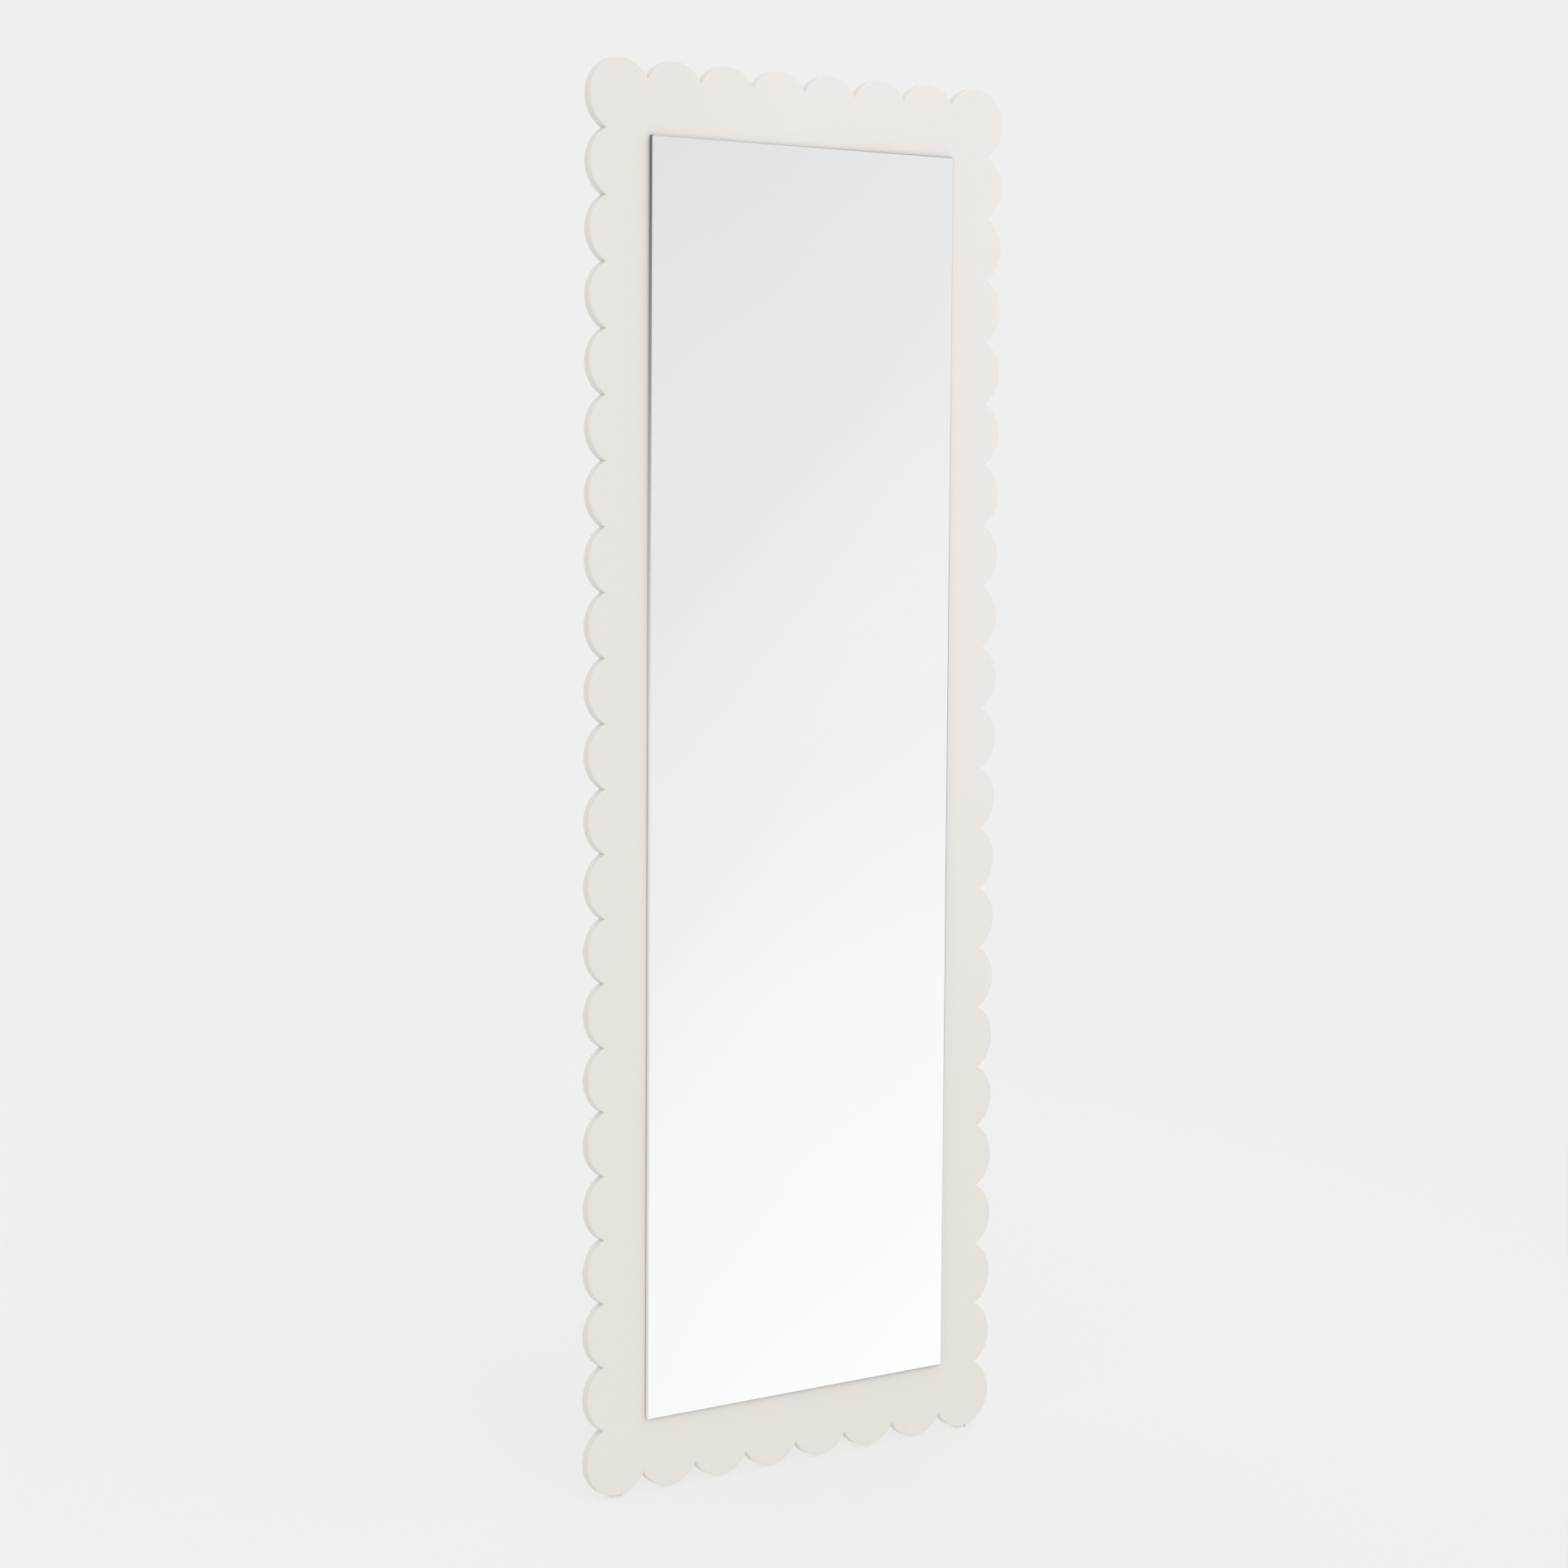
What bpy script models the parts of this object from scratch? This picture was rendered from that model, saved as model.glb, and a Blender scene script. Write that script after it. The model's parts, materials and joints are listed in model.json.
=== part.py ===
"""Scalloped full-length floor mirror that stands on a folding easel leg.

Units are metres. +Z is up, the mirror faces -Y, and the object stands on Z = 0.

Two empties carry the pieces:
  board_frame  leans back. Its X runs across the board, its Y from the board's front face to the
               back, and its Z up the board from the lowest point of the scallops.
  leg_frame    lies on the leg's pivot axis, with Z up along the leg and Y through its thickness.
"""

from math import asin, atan2, cos, pi, radians, sin, sqrt

import bmesh
import bpy
from mathutils import Vector

# ---- Driving dimensions -------------------------------------------------------------------------

LOBE_PITCH = 0.075
LOBE_RADIUS = 0.0425
LOBES_ACROSS = 8
LOBES_DOWN = 22
LOBE_STEPS = 10

BOARD_THICKNESS = 0.012
GLASS_WIDTH = 0.448
GLASS_HEIGHT = 1.490
GLASS_THICKNESS = 0.004
TAPE_WIDTH = 0.025
TAPE_THICKNESS = 0.0010
TAPE_INSET = 0.004

BATTEN_WIDTH = 0.045
BATTEN_THICKNESS = 0.018
BATTEN_OFFSET = 0.190
CROSS_BATTEN_HEIGHT = 0.045
HINGE_RAIL_HEIGHT = 0.140
BATTEN_MARGIN = 0.100

LEAN = radians(6.0)
LEG_SLOPE = radians(6.5)
PIVOT_HEIGHT = 1.050
PIVOT_STANDOFF = 0.022

RAIL_WIDTH = 0.032
RAIL_THICKNESS = 0.020
RAIL_TOP_OFFSET = 0.114
RAIL_FOOT_OFFSET = 0.054
RAIL_HEAD = 0.064
RAIL_STRAIGHT = 0.060
RUNG_HEIGHT = 0.040
RUNG_THICKNESS = 0.016
RUNG_DROPS = {"top": 0.130, "middle": 0.500, "bottom": 0.920}

BOLT_RADIUS = 0.003
BOLT_HEAD_RADIUS = 0.0056
BOLT_HEAD_HEIGHT = 0.004
NUT_HEIGHT = 0.006
BOLT_PAST_NUT = 0.002
WASHER_RADIUS = 0.008
BRACKET_SHEET = 0.002
BRACKET_WIDTH = 0.078
BRACKET_HEIGHT = 0.050
EAR_RADIUS = 0.012
WASHER_ROOM = 0.0016
BRACKET_SCREW = {"radius": 0.0018, "head_radius": 0.0038, "head_height": 0.0018, "length": 0.016}
RUNG_SCREW = {"radius": 0.0025, "head_radius": 0.0048, "head_height": 0.0023, "length": 0.048}
SCREW_EDGE_DISTANCE = 0.009
COUNTERBORE = 0.004
HOLE_PAST_HEAD = 0.010

PAD_THICKNESS = 0.003
STOP_PAD_ABOVE_BRACKET = 0.008
STOP_PAD_BELOW_EDGE = 0.004
GLIDE_WIDTH = 0.014
BOARD_CLEARANCE = 0.0014

GAP = 0.0003
ROUND = 24
SMALL_ROUND = 12

# ---- Values that follow from them ---------------------------------------------------------------

BOARD_HEIGHT = (LOBES_DOWN - 1) * LOBE_PITCH + 2 * LOBE_RADIUS
LOBE_ROW_X = (LOBES_ACROSS - 1) * LOBE_PITCH / 2
BATTEN_FRONT = BOARD_THICKNESS + GAP
BATTEN_BACK = BOARD_THICKNESS + BATTEN_THICKNESS
PIVOT_DEPTH = BATTEN_BACK + PIVOT_STANDOFF
OPENING = LEAN + LEG_SLOPE
BOARD_LIFT = BOARD_CLEARANCE + BOARD_THICKNESS * sin(LEAN)
PIVOT_Z = BOARD_LIFT + PIVOT_HEIGHT * cos(LEAN) - PIVOT_DEPTH * sin(LEAN)
LEG_REACH = PIVOT_Z / cos(LEG_SLOPE)
EAR_OFFSET = RAIL_WIDTH / 2 + WASHER_ROOM
SIDES = {"left": -1, "right": 1}

# ---- Materials ----------------------------------------------------------------------------------


def material(name, colour, roughness, metallic=0.0):
    made = bpy.data.materials.new(name)
    made.use_nodes = True
    shader = made.node_tree.nodes["Principled BSDF"]
    shader.inputs["Base Color"].default_value = (*colour, 1.0)
    shader.inputs["Roughness"].default_value = roughness
    shader.inputs["Metallic"].default_value = metallic
    return made


def make_materials():
    return {
        "painted_board": material("painted_board", (0.80, 0.77, 0.73), 0.55),
        "painted_wood": material("painted_wood", (0.78, 0.75, 0.70), 0.6),
        "mirror": material("mirror", (0.90, 0.91, 0.91), 0.03, 1.0),
        "foam_tape": material("foam_tape", (0.75, 0.75, 0.73), 0.9),
        "zinc_steel": material("zinc_steel", (0.62, 0.63, 0.65), 0.35, 1.0),
        "nylon": material("nylon", (0.85, 0.85, 0.82), 0.45),
        "rubber": material("rubber", (0.10, 0.10, 0.10), 0.8),
        "clear_rubber": material("clear_rubber", (0.80, 0.80, 0.78), 0.4),
    }


# ---- Mesh building ------------------------------------------------------------------------------


def empty(name, parent=None, location=(0, 0, 0), tilt=0.0):
    made = bpy.data.objects.new(name, None)
    bpy.context.scene.collection.objects.link(made)
    made.parent = parent
    made.location = location
    made.rotation_euler = (tilt, 0, 0)
    return made


def shade(mesh):
    """Smooth on the rounds, sharp at the edges."""
    mesh.shade_smooth()
    mesh.set_sharp_from_angle(angle=radians(35))


def piece(name, bm, parent, finish, location=(0, 0, 0)):
    """Turns a bmesh into a named object under its frame."""
    bmesh.ops.recalc_face_normals(bm, faces=bm.faces)
    mesh = bpy.data.meshes.new(name)
    bm.to_mesh(mesh)
    bm.free()
    shade(mesh)
    made = bpy.data.objects.new(name, mesh)
    bpy.context.scene.collection.objects.link(made)
    made.parent = parent
    made.location = location
    made.data.materials.append(finish)
    return made


def prism(outline, low, high, axis="Y"):
    """Extrudes a closed outline from low to high along axis.

    The outline's points are (x, z) for axis Y and (y, z) for axis X.
    """
    place = {"X": lambda a, b, t: (t, a, b), "Y": lambda a, b, t: (a, t, b)}[axis]
    bm = bmesh.new()
    near = [bm.verts.new(place(a, b, low)) for a, b in outline]
    far = [bm.verts.new(place(a, b, high)) for a, b in outline]
    bm.faces.new(near)
    bm.faces.new(far)
    for i in range(len(outline)):
        j = (i + 1) % len(outline)
        bm.faces.new((near[i], near[j], far[j], far[i]))
    bmesh.ops.recalc_face_normals(bm, faces=bm.faces)
    return bm


def rectangle(x0, x1, z0, z1):
    return [(x0, z0), (x1, z0), (x1, z1), (x0, z1)]


def circle(radius, count):
    angles = [2 * pi * i / count for i in range(count)]
    return [(radius * cos(a), radius * sin(a)) for a in angles]


def block(x, y, z):
    """A box from three (low, high) pairs."""
    return prism(rectangle(*x, *z), *y)


def turned(profile, count, axis="Y"):
    """Turns a profile of (radius, distance along axis) round the axis. Radius 0 closes an end."""
    place = {
        "X": lambda r, a, t: (t, r * cos(a), r * sin(a)),
        "Y": lambda r, a, t: (r * cos(a), t, r * sin(a)),
    }[axis]
    bm = bmesh.new()
    rings = []
    for radius, t in profile:
        if radius == 0:
            rings.append([bm.verts.new(place(0, 0, t))])
        else:
            rings.append([bm.verts.new(place(radius, 2 * pi * i / count, t)) for i in range(count)])
    closed = profile[0][0] != 0 and profile[-1][0] != 0
    pairs = list(zip(rings, rings[1:] + rings[:1])) if closed else list(zip(rings, rings[1:]))
    for a, b in pairs:
        for i in range(count):
            j = (i + 1) % count
            corners = (a[i % len(a)], a[j % len(a)], b[j % len(b)], b[i % len(b)])
            bm.faces.new(list(dict.fromkeys(corners)))
    bmesh.ops.recalc_face_normals(bm, faces=bm.faces)
    return bm


def trim(bm, point, normal):
    """Cuts off what lies beyond the plane, on the side that normal points to, and closes the cut."""
    cut = bmesh.ops.bisect_plane(
        bm,
        geom=bm.verts[:] + bm.edges[:] + bm.faces[:],
        plane_co=point,
        plane_no=normal,
        clear_outer=True,
        dist=1e-6,
    )
    edges = [e for e in cut["geom_cut"] if isinstance(e, bmesh.types.BMEdge)]
    bmesh.ops.contextual_create(bm, geom=edges)
    return bm


def between_levels(bm, tilt, lift, low=None, high=None):
    """Keeps what lies between two heights above the floor, for a mesh in a frame that is tilted
    about X and whose origin is lift above the floor."""
    up = Vector((0, sin(tilt), cos(tilt)))
    if high is not None:
        trim(bm, up * (high - lift), up)
    if low is not None:
        trim(bm, up * (low - lift), -up)
    return bm


def apply_boolean(target, bm, operation, at):
    """Cuts a mesh from target, or joins it on. at is the mesh's place in target's frame."""
    cutter = piece("cutter", bm, target.parent, target.data.materials[0], at)
    change = target.modifiers.new("change", "BOOLEAN")
    change.operation = operation
    change.object = cutter
    bpy.context.view_layer.update()
    seen = target.evaluated_get(bpy.context.evaluated_depsgraph_get())
    made = bpy.data.meshes.new_from_object(seen)
    shade(made)
    target.modifiers.remove(change)
    old = target.data
    target.data = made
    made.name = target.name
    bpy.data.meshes.remove(old)
    spent = cutter.data
    bpy.data.objects.remove(cutter)
    bpy.data.meshes.remove(spent)
    return target


def drill(target, radius, reach, at):
    """Drills a round hole along X through the point at, reach to each side of it."""
    hole = turned([(0, -reach), (radius, -reach), (radius, reach), (0, reach)], ROUND, "X")
    return apply_boolean(target, hole, "DIFFERENCE", at)


def screw_profile(kind, out, gap=0.0, lip=0.0):
    """The outline of a countersunk screw, its head's flat face at distance 0 and facing out. With a
    gap it is the screw's hole, and lip carries the hole on past the head."""
    shank = kind["radius"] + gap
    head = kind["head_radius"] + gap
    rim = kind["head_height"] / 4 + gap
    neck = kind["head_height"] + gap
    end = kind["length"] + gap
    depths = [(0, -lip), (head, -lip), (head, rim), (shank, neck), (shank, end), (0, end)]
    return [(radius, -out * depth) for radius, depth in depths]


def fasten(name, frame, finish, kind, place, axis, out, through):
    """Puts a screw in place, and its hole in each piece that it goes through."""
    for target in through:
        hole = turned(screw_profile(kind, out, GAP, HOLE_PAST_HEAD), SMALL_ROUND, axis)
        apply_boolean(target, hole, "DIFFERENCE", place)
    return piece(name, turned(screw_profile(kind, out), SMALL_ROUND, axis), frame, finish, place)


# ---- The scalloped outline ----------------------------------------------------------------------


def lobe_centres():
    """Centres of the lobes, anticlockwise from the lower left corner as seen from the front."""
    bottom = LOBE_RADIUS
    top = bottom + (LOBES_DOWN - 1) * LOBE_PITCH
    across = [-LOBE_ROW_X + i * LOBE_PITCH for i in range(LOBES_ACROSS - 1)]
    down = [i * LOBE_PITCH for i in range(LOBES_DOWN - 1)]
    return (
        [(x, bottom) for x in across]
        + [(LOBE_ROW_X, bottom + z) for z in down]
        + [(-x, top) for x in across]
        + [(-LOBE_ROW_X, top - z) for z in down]
    )


def scalloped_outline():
    """Equal circles a pitch apart round the rectangle: each arc runs from cusp to cusp."""
    centres = lobe_centres()
    cusp_height = sqrt(LOBE_RADIUS**2 - (LOBE_PITCH / 2) ** 2)
    points = []
    for i, (x, z) in enumerate(centres):
        before = Vector(centres[i - 1])
        after = Vector(centres[(i + 1) % len(centres)])
        here = Vector((x, z))
        ends = []
        for neighbour in (before, after):
            along = (neighbour - here).normalized()
            outward = Vector((along.y, -along.x)) if neighbour is after else Vector((-along.y, along.x))
            ends.append(along * LOBE_PITCH / 2 + outward * cusp_height)
        start = atan2(ends[0].y, ends[0].x)
        sweep = (atan2(ends[1].y, ends[1].x) - start) % (2 * pi)
        steps = round(LOBE_STEPS * sweep / (2 * asin(LOBE_PITCH / 2 / LOBE_RADIUS)))
        for k in range(steps):
            angle = start + sweep * k / steps
            points.append((x + LOBE_RADIUS * cos(angle), z + LOBE_RADIUS * sin(angle)))
    return points


# ---- The board and what is fixed to it ----------------------------------------------------------


def make_board(frame, finish):
    board = prism(scalloped_outline(), 0, BOARD_THICKNESS)
    return piece("scalloped_panel", board, frame, finish["painted_board"])


def make_glass(frame, finish):
    low = (BOARD_HEIGHT - GLASS_HEIGHT) / 2
    high = low + GLASS_HEIGHT
    back = -TAPE_THICKNESS
    glass = block((-GLASS_WIDTH / 2, GLASS_WIDTH / 2), (back - GLASS_THICKNESS, back), (low, high))
    piece("mirror_glass", glass, frame, finish["mirror"])
    reach = GLASS_WIDTH / 2 - TAPE_INSET - TAPE_WIDTH / 2
    places = {"left": -reach, "centre": 0.0, "right": reach}
    for name, x in places.items():
        tape = block(
            (x - TAPE_WIDTH / 2, x + TAPE_WIDTH / 2),
            (back + GAP, -GAP),
            (low + TAPE_INSET, high - TAPE_INSET),
        )
        piece(f"glass_tape_{name}", tape, frame, finish["foam_tape"])


def make_battens(frame, finish):
    paint = finish["painted_wood"]
    depth = (BATTEN_FRONT, BATTEN_BACK)
    low = BATTEN_MARGIN
    high = BOARD_HEIGHT - BATTEN_MARGIN
    for name, side in SIDES.items():
        x = side * BATTEN_OFFSET
        batten = block((x - BATTEN_WIDTH / 2, x + BATTEN_WIDTH / 2), depth, (low, high))
        piece(f"batten_{name}", batten, frame, paint)
    reach = BATTEN_OFFSET - BATTEN_WIDTH / 2 - GAP
    heights = {
        "top_cross_batten": (high - CROSS_BATTEN_HEIGHT, high),
        "hinge_rail": (PIVOT_HEIGHT - HINGE_RAIL_HEIGHT / 2, PIVOT_HEIGHT + HINGE_RAIL_HEIGHT / 2),
        "lower_cross_batten": (low, low + CROSS_BATTEN_HEIGHT),
    }
    return {name: piece(name, block((-reach, reach), depth, z), frame, paint) for name, z in heights.items()}


def make_glides(frame, finish):
    """A rubber glide fills the space between the floor and the round under each corner lobe."""
    half = GLIDE_WIDTH / 2
    for name, side in SIDES.items():
        bm = block((-half, half), (GAP, BOARD_THICKNESS - GAP), (-LOBE_RADIUS / 4, BOARD_CLEARANCE))
        between_levels(bm, -LEAN, BOARD_LIFT, low=0)
        place = (side * LOBE_ROW_X, 0, 0)
        glide = piece(f"glide_{name}", bm, frame, finish["clear_rubber"], place)
        lobe = prism(circle(LOBE_RADIUS + GAP, 5 * ROUND), -BOARD_THICKNESS, 2 * BOARD_THICKNESS)
        apply_boolean(glide, lobe, "DIFFERENCE", (side * LOBE_ROW_X, 0, LOBE_RADIUS))


def make_bracket(frame, finish, name, x, hinge_rail):
    """A clevis: a base plate with two rounded ears that hold the pivot bolt."""
    steel = finish["zinc_steel"]
    base_front = BATTEN_BACK + GAP
    base_back = base_front + BRACKET_SHEET
    half_width = BRACKET_WIDTH / 2
    half_height = BRACKET_HEIGHT / 2
    place = (x, 0, PIVOT_HEIGHT)
    base = block((-half_width, half_width), (base_front, base_back), (-half_height, half_height))
    bracket = piece(f"pivot_bracket_{name}", base, frame, steel, place)
    root = base_front + BRACKET_SHEET / 2
    arc = [pi * i / SMALL_ROUND for i in range(SMALL_ROUND + 1)]
    ear = [(root, -EAR_RADIUS), (root, EAR_RADIUS)]
    ear += [(PIVOT_DEPTH + EAR_RADIUS * sin(a), EAR_RADIUS * cos(a)) for a in arc]
    for side in SIDES.values():
        inner = side * EAR_OFFSET
        outer = side * (EAR_OFFSET + BRACKET_SHEET)
        plate = prism(ear, min(inner, outer), max(inner, outer), "X")
        apply_boolean(bracket, plate, "UNION", place)
    drill(bracket, BOLT_RADIUS + GAP, BRACKET_WIDTH, (x, PIVOT_DEPTH, PIVOT_HEIGHT))
    for across in SIDES.values():
        column = "outer" if across * x > 0 else "inner"
        for up, row in ((-1, "lower"), (1, "upper")):
            hole_x = x + across * (half_width - SCREW_EDGE_DISTANCE)
            hole_z = PIVOT_HEIGHT + up * (half_height - SCREW_EDGE_DISTANCE)
            screw_name = f"bracket_screw_{name}_{column}_{row}"
            through = [bracket, hinge_rail]
            fasten(screw_name, frame, steel, BRACKET_SCREW, (hole_x, base_back, hole_z), "Y", 1, through)


def make_pivot(frame, finish, name, x):
    """The bolt through both ears and the rail, its lock nut, and a washer on each side of the rail."""
    steel = finish["zinc_steel"]
    side = SIDES[name]
    place = (x, PIVOT_DEPTH, PIVOT_HEIGHT)
    ear_face = EAR_OFFSET + BRACKET_SHEET + GAP
    shank_end = -(ear_face + NUT_HEIGHT + BOLT_PAST_NUT)
    head_middle = ear_face + BOLT_HEAD_HEIGHT / 2
    shank = [(0, shank_end), (BOLT_RADIUS, shank_end), (BOLT_RADIUS, head_middle), (0, head_middle)]
    bolt = turned(shank, ROUND, "X")
    if side < 0:
        bmesh.ops.scale(bolt, verts=bolt.verts, vec=(-1, 1, 1))
    bolt = piece(f"pivot_bolt_{name}", bolt, frame, steel, place)
    head = sorted((side * ear_face, side * (ear_face + BOLT_HEAD_HEIGHT)))
    apply_boolean(bolt, prism(circle(BOLT_HEAD_RADIUS, 6), *head, "X"), "UNION", place)
    nut_range = sorted((-side * ear_face, -side * (ear_face + NUT_HEIGHT)))
    nut = piece(f"pivot_nut_{name}", prism(circle(BOLT_HEAD_RADIUS, 6), *nut_range, "X"), frame, steel, place)
    drill(nut, BOLT_RADIUS + GAP, BRACKET_WIDTH, place)
    for which, way in (("outer", side), ("inner", -side)):
        low, high = sorted((way * (RAIL_WIDTH / 2 + GAP), way * (EAR_OFFSET - GAP)))
        inner = BOLT_RADIUS + GAP
        ring = turned([(inner, low), (WASHER_RADIUS, low), (WASHER_RADIUS, high), (inner, high)], ROUND, "X")
        piece(f"pivot_washer_{name}_{which}", ring, frame, finish["nylon"], place)


def make_stop_pad(frame, finish, name, x):
    low = PIVOT_HEIGHT + BRACKET_HEIGHT / 2 + STOP_PAD_ABOVE_BRACKET
    high = PIVOT_HEIGHT + HINGE_RAIL_HEIGHT / 2 - STOP_PAD_BELOW_EDGE
    half = RAIL_WIDTH / 2
    pad = block((x - half, x + half), (BATTEN_BACK + GAP, BATTEN_BACK + PAD_THICKNESS), (low, high))
    piece(f"stop_pad_{name}", pad, frame, finish["rubber"])


# ---- The easel leg ------------------------------------------------------------------------------


def rail_inner_x(z):
    """Distance from the centre line to a rail's inner face at height z in the leg's frame."""
    taper = max(0.0, -RAIL_STRAIGHT - z) / (LEG_REACH - RAIL_STRAIGHT)
    centre = RAIL_TOP_OFFSET + (RAIL_FOOT_OFFSET - RAIL_TOP_OFFSET) * taper
    return centre - RAIL_WIDTH / 2


def rail_outline(side, low):
    heights = (RAIL_HEAD, -RAIL_STRAIGHT, low)
    inner = [(side * rail_inner_x(z), z) for z in heights]
    outer = [(side * (rail_inner_x(z) + RAIL_WIDTH), z) for z in reversed(heights)]
    return inner + outer


def make_leg_rail(frame, finish, name):
    """The rail, its head cut so that it bears flat on the stop pad when the leg is open, its foot cut
    level with the floor, and the rubber pad under it."""
    side = SIDES[name]
    half = RAIL_THICKNESS / 2
    below = -LEG_REACH - RAIL_THICKNESS
    bm = prism(rail_outline(side, below), -half, half)
    to_board = Vector((0, -cos(OPENING), sin(OPENING)))
    stop = PIVOT_DEPTH - BATTEN_BACK - PAD_THICKNESS - GAP
    trim(bm, to_board * stop, to_board)
    between_levels(bm, LEG_SLOPE, PIVOT_Z, low=PAD_THICKNESS + GAP)
    rail = piece(f"leg_rail_{name}", bm, frame, finish["painted_wood"])
    drill(rail, BOLT_RADIUS + GAP, RAIL_WIDTH, (side * RAIL_TOP_OFFSET, 0, 0))
    pad = prism(rail_outline(side, below), -half, half)
    between_levels(pad, LEG_SLOPE, PIVOT_Z, low=0, high=PAD_THICKNESS)
    piece(f"leg_pad_{name}", pad, frame, finish["rubber"])
    return rail


def make_rungs(frame, finish, rails):
    half = RUNG_HEIGHT / 2
    for label, drop in RUNG_DROPS.items():
        low, high = -drop - half, -drop + half
        reach = {z: rail_inner_x(z) - GAP for z in (low, high)}
        outline = [(-reach[low], low), (reach[low], low), (reach[high], high), (-reach[high], high)]
        rung = prism(outline, -RUNG_THICKNESS / 2, RUNG_THICKNESS / 2)
        rung = piece(f"leg_rung_{label}", rung, frame, finish["painted_wood"])
        for name, side in SIDES.items():
            head_x = rail_inner_x(-drop) + RAIL_WIDTH - COUNTERBORE
            place = (side * head_x, 0, -drop)
            steel = finish["zinc_steel"]
            through = [rails[name], rung]
            fasten(f"rung_screw_{name}_{label}", frame, steel, RUNG_SCREW, place, "X", side, through)


# ---- Assembly -----------------------------------------------------------------------------------


def centre_on_origin(stand):
    """Moves the whole object so that the middle of its footprint box is at X = Y = 0."""
    bpy.context.view_layer.update()
    corners = [
        o.matrix_world @ v.co for o in bpy.data.objects if o.type == "MESH" for v in o.data.vertices
    ]
    depths = [c.y for c in corners]
    stand.location.y = -(min(depths) + max(depths)) / 2
    bpy.context.view_layer.update()


def main():
    for old in list(bpy.data.objects):
        bpy.data.objects.remove(old)
    finish = make_materials()
    stand = empty("stand")
    board_frame = empty("board_frame", stand, (0, 0, BOARD_LIFT), -LEAN)
    leg_frame = empty("leg_frame", board_frame, (0, PIVOT_DEPTH, PIVOT_HEIGHT), OPENING)
    make_board(board_frame, finish)
    make_glass(board_frame, finish)
    cross = make_battens(board_frame, finish)
    make_glides(board_frame, finish)
    rails = {}
    for name, side in SIDES.items():
        x = side * RAIL_TOP_OFFSET
        make_bracket(board_frame, finish, name, x, cross["hinge_rail"])
        make_pivot(board_frame, finish, name, x)
        make_stop_pad(board_frame, finish, name, x)
        rails[name] = make_leg_rail(leg_frame, finish, name)
    make_rungs(leg_frame, finish, rails)
    centre_on_origin(stand)


main()
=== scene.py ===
"""The looks of the scalloped floor mirror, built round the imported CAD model.

Units are metres, +Z is up and the mirror faces -Y. A piece is modelled in its body's own axes: the
board's are turned back about X by the lean, the leg's are turned the other way by its slope.
"""

import json
from math import atan2, cos, pi, radians, sin, sqrt, tan

import bmesh
import bpy
from mathutils import Matrix, Vector

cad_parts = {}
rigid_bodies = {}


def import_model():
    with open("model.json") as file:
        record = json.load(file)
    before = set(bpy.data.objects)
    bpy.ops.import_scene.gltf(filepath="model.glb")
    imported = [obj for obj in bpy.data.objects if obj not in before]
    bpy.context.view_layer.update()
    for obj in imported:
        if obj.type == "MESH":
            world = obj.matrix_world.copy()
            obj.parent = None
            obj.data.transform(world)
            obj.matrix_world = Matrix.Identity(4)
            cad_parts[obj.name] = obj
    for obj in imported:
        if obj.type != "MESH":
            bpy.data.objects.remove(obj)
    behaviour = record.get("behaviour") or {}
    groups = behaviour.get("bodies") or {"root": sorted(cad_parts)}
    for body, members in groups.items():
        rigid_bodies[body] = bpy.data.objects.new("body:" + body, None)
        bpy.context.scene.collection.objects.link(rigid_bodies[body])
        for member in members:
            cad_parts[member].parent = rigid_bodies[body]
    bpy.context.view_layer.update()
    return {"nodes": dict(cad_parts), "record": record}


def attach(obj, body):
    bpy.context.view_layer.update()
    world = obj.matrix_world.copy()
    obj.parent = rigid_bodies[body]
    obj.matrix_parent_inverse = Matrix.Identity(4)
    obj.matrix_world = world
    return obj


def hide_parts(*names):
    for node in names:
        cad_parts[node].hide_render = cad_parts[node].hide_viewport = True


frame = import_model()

# ---- Driving dimensions -------------------------------------------------------------------------

LEAN = radians(6.0)
LEG_SLOPE = radians(6.5)

# The scalloped panel. LOBE_STEPS are for a whole turn. SUPPORT is a narrow flat border beside each
# round, which keeps the shading of the face flat.
LOBE_RADIUS = 0.0425
LOBES_ACROSS = 8
LOBES_DOWN = 22
LOBE_STEPS = 84
CUSP_STEPS = 8
FRONT_ROUND = 0.0014
BACK_ROUND = 0.0006
ROUND_STEPS = 5
SUPPORT = 0.0012

# The glass: its corners, the bevel at its edge, and the rim between the bevel and the silver.
GLASS_CORNER = 0.0015
GLASS_ARRIS = 0.0006
GLASS_BORDER = 0.0006

# The rounds on the edges of the other pieces. Wooden edges shorter than LONG_EDGE stay sharp.
WOOD_ROUND = 0.0016
STEEL_ROUND = 0.0003
RUBBER_ROUND = 0.0004
FOAM_ROUND = 0.0002
LONG_EDGE = 0.0100

# The ribs of a stop pad.
PAD_RIBS = 7
RIB_DEPTH = 0.0005

# The fasteners. HEX_RADIUS is measured to a corner of the hexagon. A bolt's thread starts a little
# before the nut.
BOLT_RADIUS = 0.0030
BOLT_HEAD_HEIGHT = 0.0040
BOLT_END_CHAMFER = 0.0006
HEX_RADIUS = 0.0056
HOLE_CLEARANCE = 0.0003
THREAD_BEFORE_NUT = 0.0040
THREAD_RUNOUT = 0.0004
THREAD_PITCH = 0.0005
THREAD_DEPTH = 0.0003
TURNING_STEPS = 48
CUTTER_SPARE = 0.0010
BRACKET_SCREW = {"radius": 0.0018, "head": 0.0038, "depth": 0.0018, "recess": 0.0011, "pitch": 0.0014}
RUNG_SCREW = {"radius": 0.0025, "head": 0.0048, "depth": 0.0023, "recess": 0.0014, "pitch": 0.0018}

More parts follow.
